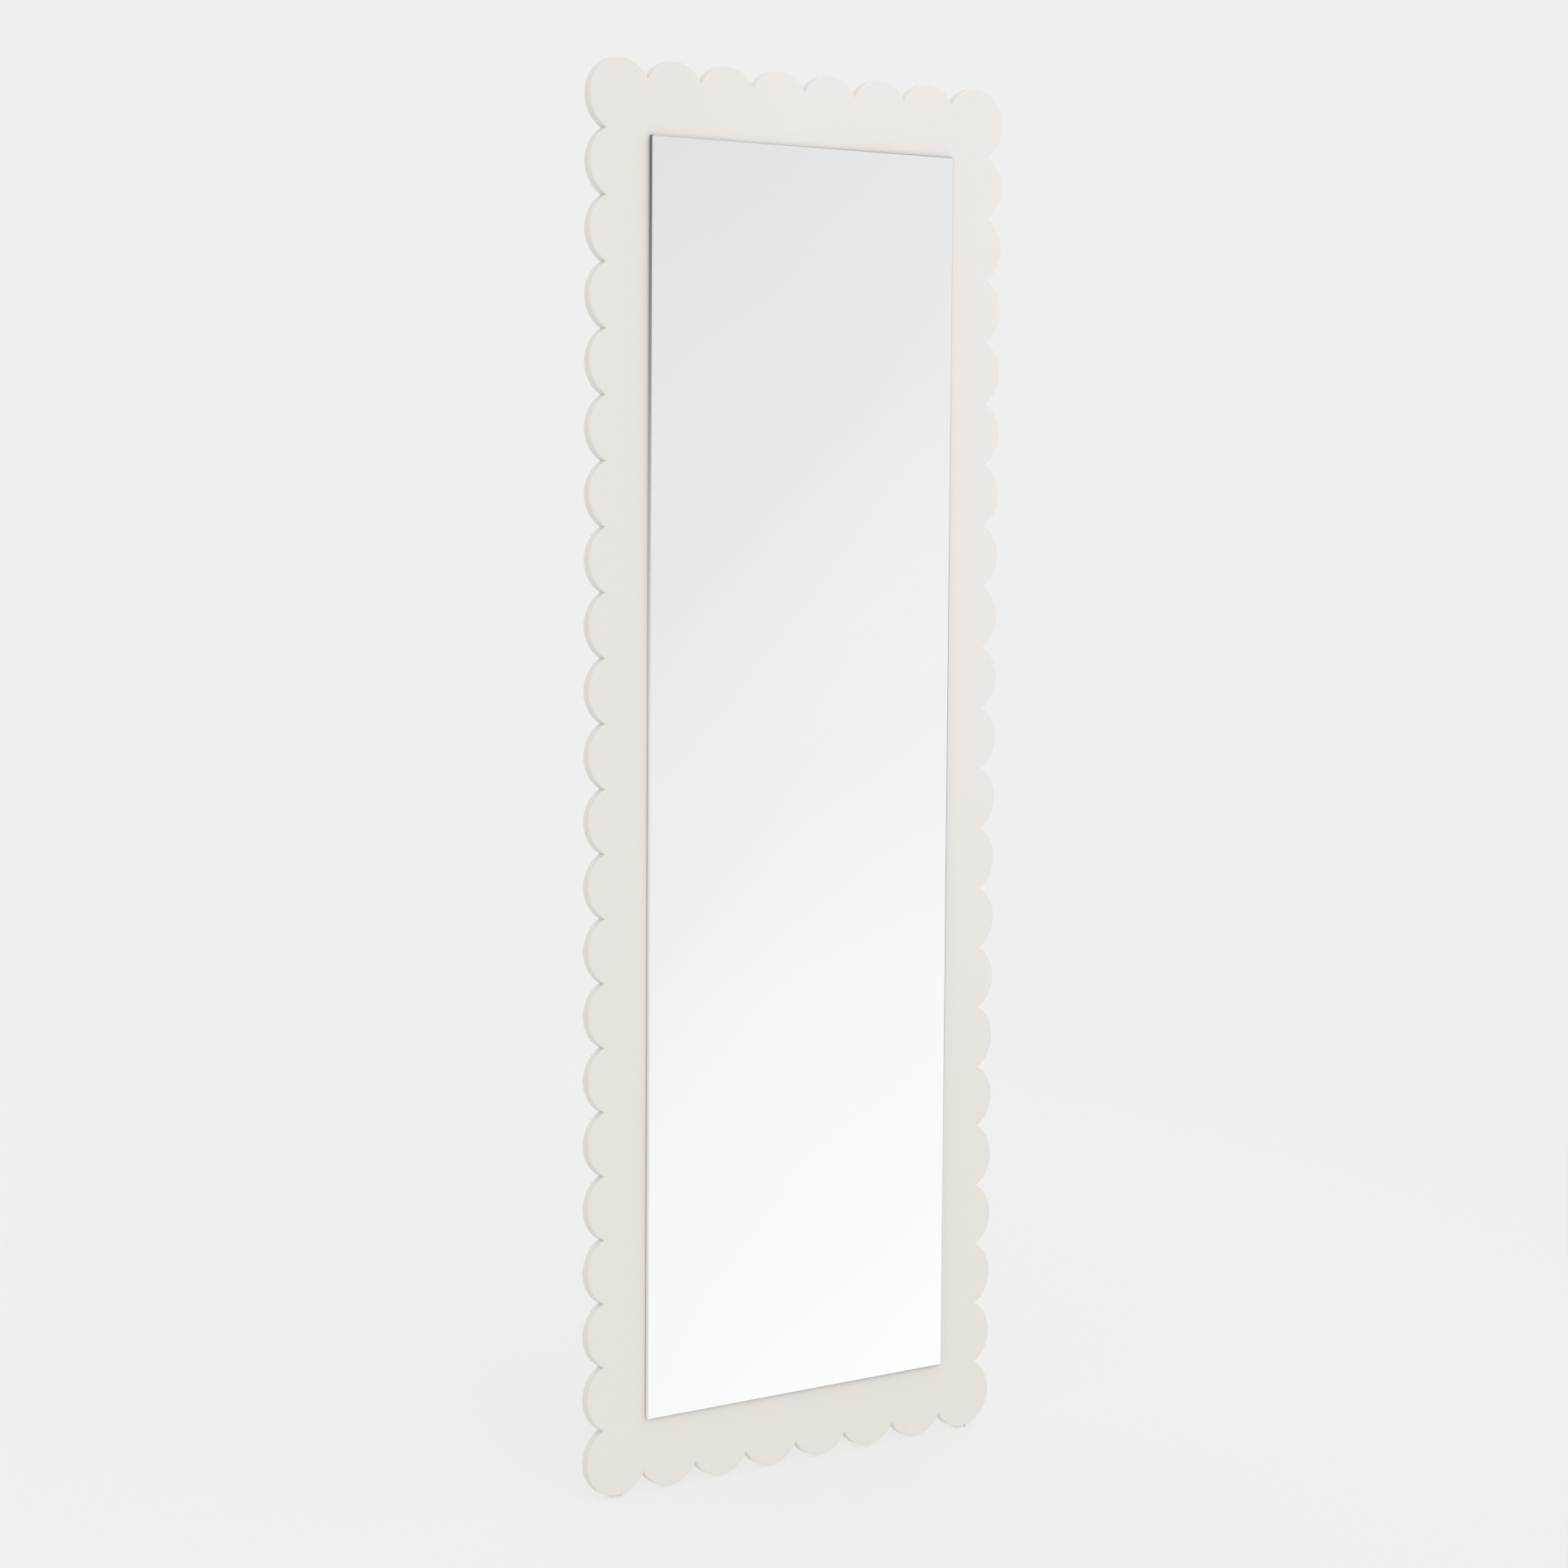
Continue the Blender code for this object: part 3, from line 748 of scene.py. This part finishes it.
def make_screws(materials):
    steel = materials["zinc"]
    short_low, short_high = own_box("bracket_screw_left_inner_lower")
    short = screw_mesh("bracket_screw", BRACKET_SCREW, short_high.y - short_low.y)
    long_low, long_high = own_box("rung_screw_right_top")
    long = screw_mesh("rung_screw", RUNG_SCREW, long_high.x - long_low.x)
    for name in BODY_OF:
        low, high = own_box(name)
        middle = (low + high) / 2
        if name.startswith("bracket_screw"):
            place_fastener(name, short, steel, (0, 1, 0), (middle.x, high.y, middle.z))
        if name.startswith("rung_screw"):
            side = 1 if middle.x > 0 else -1
            face = span_towards(name, side)[1] * side
            place_fastener(name, long, steel, (side, 0, 0), (face, middle.y, middle.z))


def hexagon(low, high, chamfered):
    """A hexagonal prism along X, from low to high. Its corners are turned off at the chamfered ends,
    by keeping what lies inside a turned shape that is a little wider than the corners."""
    bm = bmesh.new()
    rings = []
    for x in (low, high):
        angles = [pi * i / 3 + pi / TURNING_STEPS for i in range(6)]
        rings.append([bm.verts.new((x, HEX_RADIUS * cos(a), HEX_RADIUS * sin(a))) for a in angles])
    bm.faces.new(rings[0])
    bm.faces.new(rings[1])
    for i in range(6):
        j = (i + 1) % 6
        bm.faces.new((rings[0][i], rings[0][j], rings[1][j], rings[1][i]))
    flat = HEX_RADIUS * cos(pi / 6)
    past_corners = HEX_RADIUS * 1.1
    face = flat * 0.97
    fall = (past_corners - flat) * 0.55
    if "low" in chamfered:
        profile = [(0, low), (face, low), (past_corners, low + fall)]
    else:
        profile = [(0, low - CUTTER_SPARE), (past_corners, low - CUTTER_SPARE)]
    if "high" in chamfered:
        profile += [(past_corners, high - fall), (face, high), (0, high)]
    else:
        profile += [(past_corners, high + CUTTER_SPARE), (0, high + CUTTER_SPARE)]
    turning = to_mesh("turning", turned(profile, TURNING_STEPS))
    return boolean(to_mesh("hexagon", bm), turning, "INTERSECT")


def make_bolt(side_name, side, steel):
    """A bolt with a chamfered hexagon head. Its thread runs from just short of the nut to its end."""
    name = f"pivot_bolt_{side_name}"
    end, head = span_towards(name, side)
    nut_face = span_towards(f"pivot_nut_{side_name}", side)[1]
    length = head - end
    thread_start = nut_face + THREAD_BEFORE_NUT - head
    overlap = -BOLT_HEAD_HEIGHT / 2
    shank = [(0, overlap), (BOLT_RADIUS, overlap), (BOLT_RADIUS, thread_start)]
    ridges = (thread_start - THREAD_RUNOUT, BOLT_END_CHAMFER - length)
    shank += thread(BOLT_RADIUS, *ridges, THREAD_PITCH, THREAD_DEPTH)
    shank += [(BOLT_RADIUS * 0.75, -length), (0, -length)]
    rod = to_mesh("rod", turned(shank, 32))
    mesh = boolean(hexagon(-BOLT_HEAD_HEIGHT, 0, ("high",)), rod, "UNION")
    centre = own_centre(name)
    place_fastener(name, finish_mesh(mesh, name), steel, (side, 0, 0), (head * side, centre.y, centre.z))


def make_nut(side_name, side, steel):
    """A lock nut: a chamfered hexagon, and the rounded collar that holds the nylon ring. Heights are
    shares of its length, from the face that bears on the washer."""
    name = f"pivot_nut_{side_name}"
    near, far = span_towards(name, side)
    length = far - near
    rim = HEX_RADIUS * 0.80
    hole = BOLT_RADIUS + HOLE_CLEARANCE
    collar = [(0, length * 0.5), (rim, length * 0.5), (rim, length * 0.88)]
    collar += [(rim * 0.94, length * 0.97), (rim * 0.84, length), (0, length)]
    bore = [(0, -CUTTER_SPARE), (hole, -CUTTER_SPARE), (hole, length * 0.93)]
    bore += [(hole * 1.12, length + CUTTER_SPARE), (0, length + CUTTER_SPARE)]
    body = hexagon(0, length * 0.72, ("low", "high"))
    mesh = boolean(body, to_mesh("collar", turned(collar, 40)), "UNION")
    mesh = boolean(mesh, to_mesh("bore", turned(bore, 32)), "DIFFERENCE")
    centre = own_centre(name)
    place_fastener(name, finish_mesh(mesh, name), steel, (-side, 0, 0), (far * side, centre.y, centre.z))


def make_washer(name, nylon):
    """A nylon washer with its edges turned off."""
    low, high = own_box(name)
    centre = (low + high) / 2
    half = (high.x - low.x) / 2
    outer = (high.z - low.z) / 2
    inner = BOLT_RADIUS + HOLE_CLEARANCE
    edge = half * 0.6
    near = [(inner, edge - half), (inner + edge / 2, -half), (outer - edge, -half), (outer, edge - half)]
    far = [(radius, -x) for radius, x in reversed(near)]
    mesh = to_mesh(name, turned(near + far + near[:1], TURNING_STEPS), 50.0)
    return show(name, mesh, [nylon], centre)


def make_pivots(materials):
    for side_name, side in SIDES.items():
        make_bolt(side_name, side, materials["zinc"])
        make_nut(side_name, side, materials["zinc"])
        for which in ("inner", "outer"):
            make_washer(f"pivot_washer_{side_name}_{which}", materials["nylon"])


# ---- Rubber pads --------------------------------------------------------------------------------


def make_stop_pad(name, materials):
    """A moulded pad with ribs across the face that the leg bears on."""
    low, high = own_box(name)
    centre = (low + high) / 2
    half = (high - low) / 2
    pitch = 2 * half.z / PAD_RIBS
    outline = [(-half.y, half.z - RUBBER_ROUND), (-half.y, RUBBER_ROUND - half.z)]
    for i in range(PAD_RIBS):
        start = -half.z + i * pitch
        for share, depth in ((0.08, RIB_DEPTH), (0.26, 0.0), (0.74, 0.0), (0.92, RIB_DEPTH)):
            outline.append((half.y - depth, start + pitch * share))
    ends = ((-half.x, 0.96), (RUBBER_ROUND - half.x, 1.0), (half.x - RUBBER_ROUND, 1.0), (half.x, 0.96))
    rings = [[(x, y * share, z * share) for y, z in outline] for x, share in ends]
    return show(name, to_mesh(name, loft(rings)), [materials["rubber"]], centre)


# ---- The whole object ---------------------------------------------------------------------------


def make_object():
    """Every piece of the object, each in the place of the CAD node that it is named after."""
    materials = make_materials()
    make_panel(materials)
    make_mirror(materials)
    for name in ("left", "centre", "right"):
        rounded_copy(f"glass_tape_{name}", [materials["foam"]], FOAM_ROUND)
    for name in BODY_OF:
        if name.startswith(("batten_", "leg_rail_")):
            rounded_copy(name, [materials["upright"]], WOOD_ROUND, LONG_EDGE)
        elif name.endswith("_cross_batten") or name == "hinge_rail" or name.startswith("leg_rung_"):
            rounded_copy(name, [materials["cross"]], WOOD_ROUND, LONG_EDGE)
        elif name.startswith("pivot_bracket_"):
            rounded_copy(name, [materials["zinc"]], STEEL_ROUND)
        elif name.startswith("leg_pad_"):
            rounded_copy(name, [materials["rubber"]], RUBBER_ROUND)
        elif name.startswith("glide_"):
            rounded_copy(name, [materials["clear_rubber"]], RUBBER_ROUND)
        elif name.startswith("stop_pad_"):
            make_stop_pad(name, materials)
    make_screws(materials)
    make_pivots(materials)


# ---- Floor, light and camera --------------------------------------------------------------------


def make_floor():
    """A pale floor that fades into the backdrop round the object, so that it has no edge. Most of
    its light is its own, which keeps the shadows on it faint. The mirror shows the backdrop in its
    place."""
    bm = bmesh.new()
    bmesh.ops.create_circle(bm, cap_ends=True, radius=1.0, segments=96)
    mesh = bpy.data.meshes.new("floor")
    bm.to_mesh(mesh)
    bm.free()
    floor = bpy.data.objects.new("floor", mesh)
    bpy.context.scene.collection.objects.link(floor)
    floor.scale = (*FLOOR_SIZE, 1.0)
    floor.location = (*FLOOR_MIDDLE, 0)
    floor.visible_glossy = False
    made, tree, shader = new_material(
        "pale_floor",
        Roughness=0.9,
        Specular_IOR_Level=0.1,
        Emission_Color=(BACKGROUND, BACKGROUND, BACKGROUND, 1.0),
        Emission_Strength=FLOOR_GLOW,
    )
    space = object_space(tree)
    grain = noise(tree, space, 90.0, 3.0)
    tone = blend_colours(tree, grain, (0.257, 0.257, 0.257), (0.261, 0.261, 0.261))
    feed(tree, shader, Base_Color=tone)
    away = node(tree, "ShaderNodeVectorMath", {0: space}, operation="LENGTH").outputs["Value"]
    fade = ramp(tree, away, *FLOOR_FADE, 0.0, 1.0)
    clear = node(tree, "ShaderNodeBsdfTransparent").outputs[0]
    mixed = node(tree, "ShaderNodeMixShader", {0: fade, 1: shader.outputs[0], 2: clear}).outputs[0]
    tree.links.new(mixed, tree.nodes["Material Output"].inputs["Surface"])
    mesh.materials.append(made)


def make_world():
    """A seamless, even, pale backdrop that is brighter overhead. What mirror-like surfaces show of
    it runs from cool grey to near white and back, in soft slanting bands. The bands fade out
    towards the back and low down."""
    world = bpy.data.worlds.new("studio")
    bpy.context.scene.world = world
    world.use_nodes = True
    tree = world.node_tree
    direction = node(tree, "ShaderNodeTexCoord").outputs["Generated"]
    axes = node(tree, "ShaderNodeSeparateXYZ", {"Vector": direction}).outputs
    degrees = 180 / pi
    rise = maths(tree, "MULTIPLY", maths(tree, "ARCSINE", axes["Z"]), degrees)
    forward = maths(tree, "MULTIPLY", axes["Y"], -1.0)
    around = maths(tree, "MULTIPLY", maths(tree, "ARCTAN2", axes["X"], forward), degrees)
    across = ramp(tree, around, *BAND_AZIMUTHS, -BAND_FALL, BAND_FALL, smooth=False)
    slant = maths(tree, "SUBTRACT", rise, across)
    along = maths(tree, "MULTIPLY", maths(tree, "ADD", rise, across), STREAK_STRETCH)
    streak_space = node(tree, "ShaderNodeCombineXYZ", {"X": slant, "Y": along}).outputs[0]
    streaks = noise(tree, streak_space, 0.30, 2.0, 0.4)
    wander = maths(tree, "MULTIPLY", maths(tree, "SUBTRACT", streaks, 0.5), BAND_WANDER)
    start = maths(tree, "ADD", maths(tree, "ADD", slant, wander), BAND_HEIGHT / 2)
    swing = maths(tree, "PINGPONG", start, BAND_HEIGHT)
    evenly = ramp(tree, swing, 0.0, BAND_HEIGHT, 1.0, 0.0, smooth=False)
    level = maths(tree, "POWER", evenly, BAND_CURVE)
    front = blend_colours(tree, level, (0.780, 0.780, 0.794), (1.040, 1.040, 1.040))
    plain = (BACKGROUND, BACKGROUND, BACKGROUND)
    faces_front = ramp(tree, forward, -0.25, 0.35, 0.0, 1.0)
    low = ramp(tree, rise, -24.0, -11.0, 0.0, 1.0)
    shown = maths(tree, "MULTIPLY", faces_front, low)
    round_about = blend_colours(tree, shown, plain, front)
    overhead = ramp(tree, axes["Z"], 0.35, 0.75, 0.0, 1.0)
    light_path = node(tree, "ShaderNodeLightPath").outputs
    around_it = blend_colours(tree, light_path["Is Glossy Ray"], plain, round_about)
    sky = blend_colours(tree, overhead, around_it, (1.02, 1.02, 1.02))
    seen = blend_colours(tree, light_path["Is Camera Ray"], sky, plain)
    tree.links.new(seen, tree.nodes["Background"].inputs["Color"])


def make_light(name, place, size, energy):
    """A soft light, aimed at the middle of the object, that no reflection shows."""
    light = bpy.data.lights.new(name, "AREA")
    light.shape = "DISK"
    light.size = size
    light.energy = energy
    made = bpy.data.objects.new(name, light)
    bpy.context.scene.collection.objects.link(made)
    made.location = place
    aim = Vector((0, 0, 0.9)) - made.location
    made.rotation_euler = aim.to_track_quat("-Z", "Y").to_euler()
    made.visible_glossy = False
    made.visible_camera = False
    return made


def make_lights(pieces):
    """The key, high in front, and a side light behind that falls on the object alone, so that it
    gives the back its form and leaves the floor even."""
    make_light("key", place=(-0.8, -4.2, 3.6), size=2.6, energy=18.0)
    side = make_light("side", place=(2.6, 2.4, 2.2), size=0.8, energy=10.0)
    lit = bpy.data.collections.new("lit_from_the_side")
    for piece in pieces:
        lit.objects.link(piece)
    side.light_linking.receiver_collection = lit


def make_camera():
    """The photo's viewpoint: in front, to the left, near the height of the top, rolled a little."""
    data = bpy.data.cameras.new("camera")
    data.lens = CAMERA_LENS
    data.sensor_width = CAMERA_SENSOR
    camera = bpy.data.objects.new("camera", data)
    bpy.context.scene.collection.objects.link(camera)
    ahead = Vector((sin(CAMERA_HEADING), cos(CAMERA_HEADING), tan(CAMERA_RISE)))
    level = ahead.to_track_quat("-Z", "Y").to_matrix().to_4x4()
    roll = Matrix.Rotation(CAMERA_ROLL, 4, "Z")
    camera.matrix_world = Matrix.Translation(CAMERA_PLACE) @ level @ roll
    bpy.context.scene.camera = camera


def make_studio(pieces):
    """All that isn't the object. The pieces are what the side light falls on."""
    make_floor()
    make_world()
    make_lights(pieces)
    make_camera()
    bpy.context.scene.view_settings.view_transform = "Standard"


make_object()
make_studio([made for made in bpy.context.scene.objects if made.name.startswith("shaped_")])
